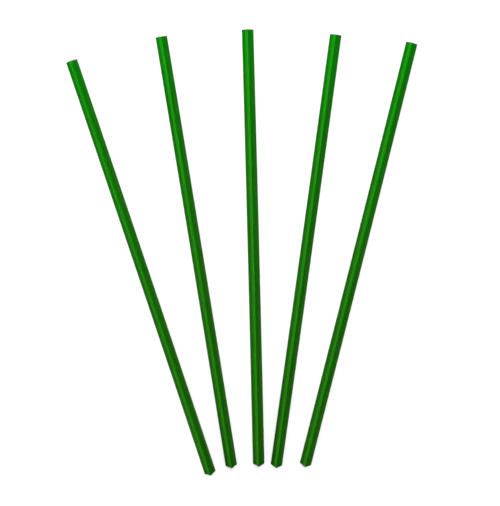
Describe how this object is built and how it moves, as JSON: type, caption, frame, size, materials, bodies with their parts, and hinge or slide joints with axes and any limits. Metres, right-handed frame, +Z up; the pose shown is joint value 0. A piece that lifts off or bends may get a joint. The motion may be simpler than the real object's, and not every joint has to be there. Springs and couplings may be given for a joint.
{
  "type": "tree guard tube set",
  "caption": "Slender hollow three-sided plastic tubes laid in a fan: dished flanks, ridge on top, square top ends and feet cut at a slant.",
  "frame": {"origin": "centre of the middle tube's flat underside, on the ground", "axes": "+Y runs along the middle tube from its foot to its square top end, +Z is up from the ground, and +X is to the right"},
  "size_m": [0.8037, 1.0172, 0.0231],
  "materials": {
    "green_plastic": "satin moulded green plastic"
  },
  "bodies": {
    "far_left_tube": {"far_left_tube": "green_plastic"},
    "left_tube": {"left_tube": "green_plastic"},
    "middle_tube": {"middle_tube": "green_plastic"},
    "right_tube": {"right_tube": "green_plastic"},
    "far_right_tube": {"far_right_tube": "green_plastic"}
  },
  "joints": [
    {"name": "far_left_tube_lift", "type": "slide", "parent": "middle_tube", "child": "far_left_tube", "axis": [0, 0, 1], "range_m": [0, 0.15]},
    {"name": "left_tube_lift", "type": "slide", "parent": "middle_tube", "child": "left_tube", "axis": [0, 0, 1], "range_m": [0, 0.15]},
    {"name": "right_tube_lift", "type": "slide", "parent": "middle_tube", "child": "right_tube", "axis": [0, 0, 1], "range_m": [0, 0.15]},
    {"name": "far_right_tube_lift", "type": "slide", "parent": "middle_tube", "child": "far_right_tube", "axis": [0, 0, 1], "range_m": [0, 0.15]}
  ]
}
